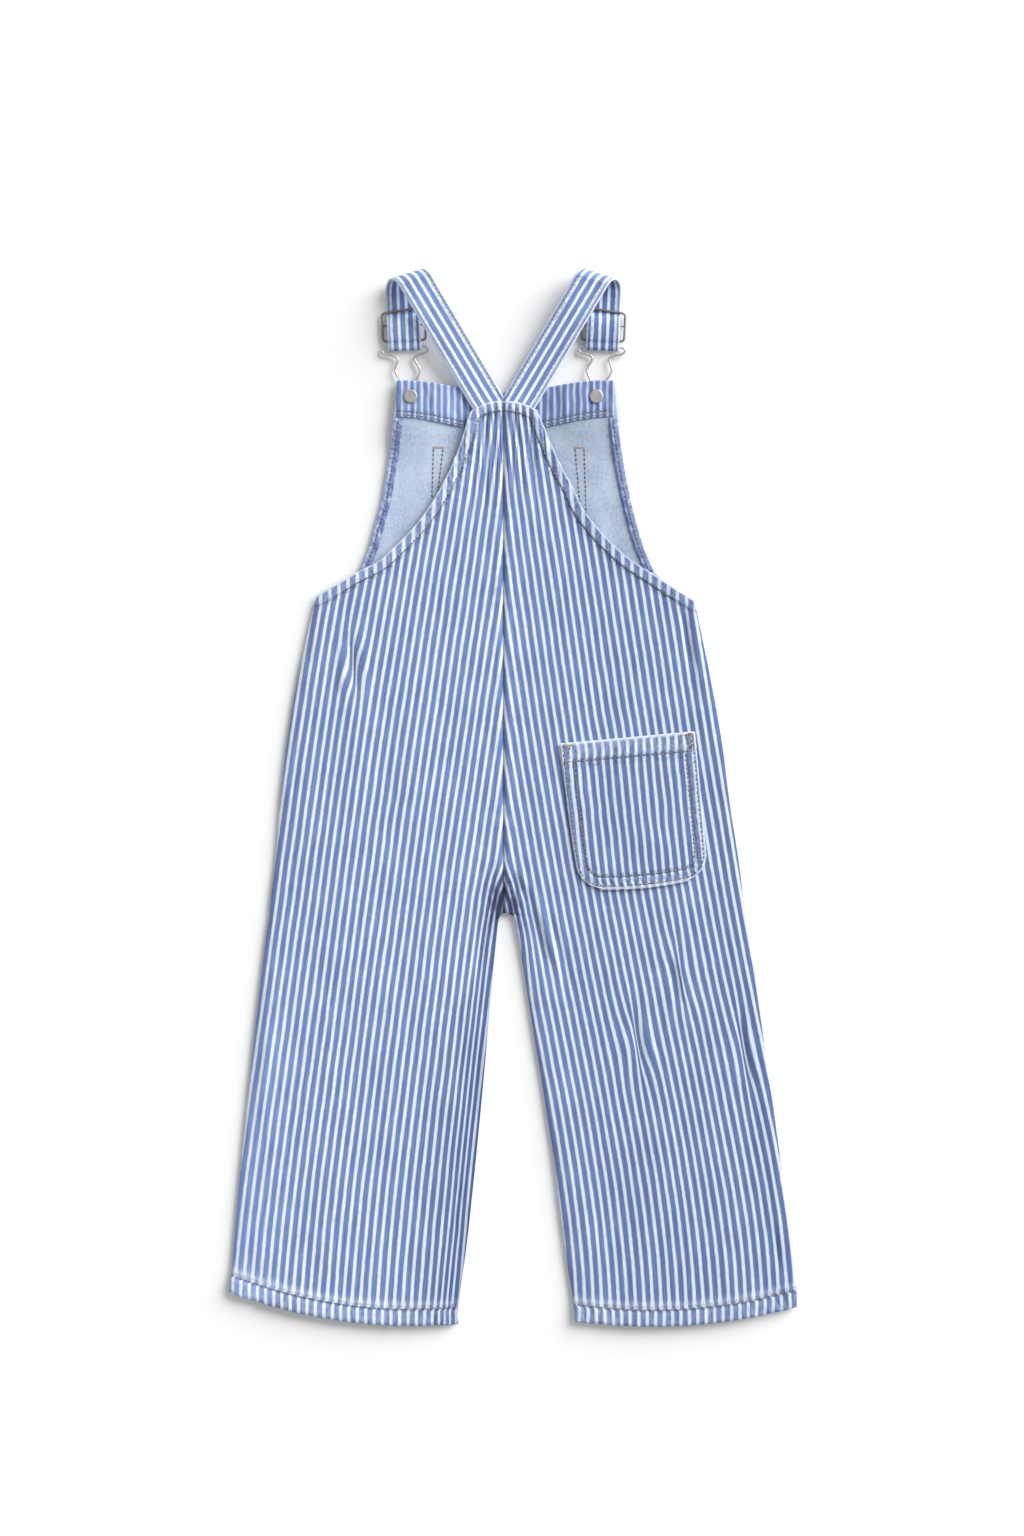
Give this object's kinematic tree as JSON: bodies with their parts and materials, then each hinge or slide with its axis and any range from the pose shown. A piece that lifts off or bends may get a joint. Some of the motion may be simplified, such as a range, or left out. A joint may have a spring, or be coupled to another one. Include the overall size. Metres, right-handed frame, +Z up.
{
  "type": "kids bib overalls",
  "caption": "Striped denim bib overalls for a small child, laid flat with the back up: wide legs, racer back, crossed-in straps with wire buckles, button bib and a back pocket.",
  "frame": {"origin": "on the surface that the garment lies on, under the middle of its bounding box", "axes": "+Z up, out of the surface, towards the garment's back; +Y from the leg hems to the straps; +X across the garment, towards the wearer's right side"},
  "size_m": [0.4544, 0.8456, 0.0183],
  "materials": {
    "striped_denim": "blue and white striped denim, right side",
    "wrong_side": "the same cloth's paler inside",
    "grey_wire": "grey plated wire",
    "tack_metal": "matt grey metal"
  },
  "bodies": {
    "root": {"front_leg_left": "striped_denim", "front_leg_right": "striped_denim", "back_left": "striped_denim", "back_right": "striped_denim", "back_pocket": "striped_denim", "chest_pocket": "striped_denim", "front_bib": "wrong_side", "bib_facing": "striped_denim", "bib_hem_left": "striped_denim", "bib_hem_right": "striped_denim", "strap_left": "striped_denim", "strap_right": "striped_denim", "slide_left": "grey_wire", "slide_right": "grey_wire", "hook_left": "grey_wire", "hook_right": "grey_wire", "button_left": "tack_metal", "button_right": "tack_metal"}
  },
  "joints": []
}
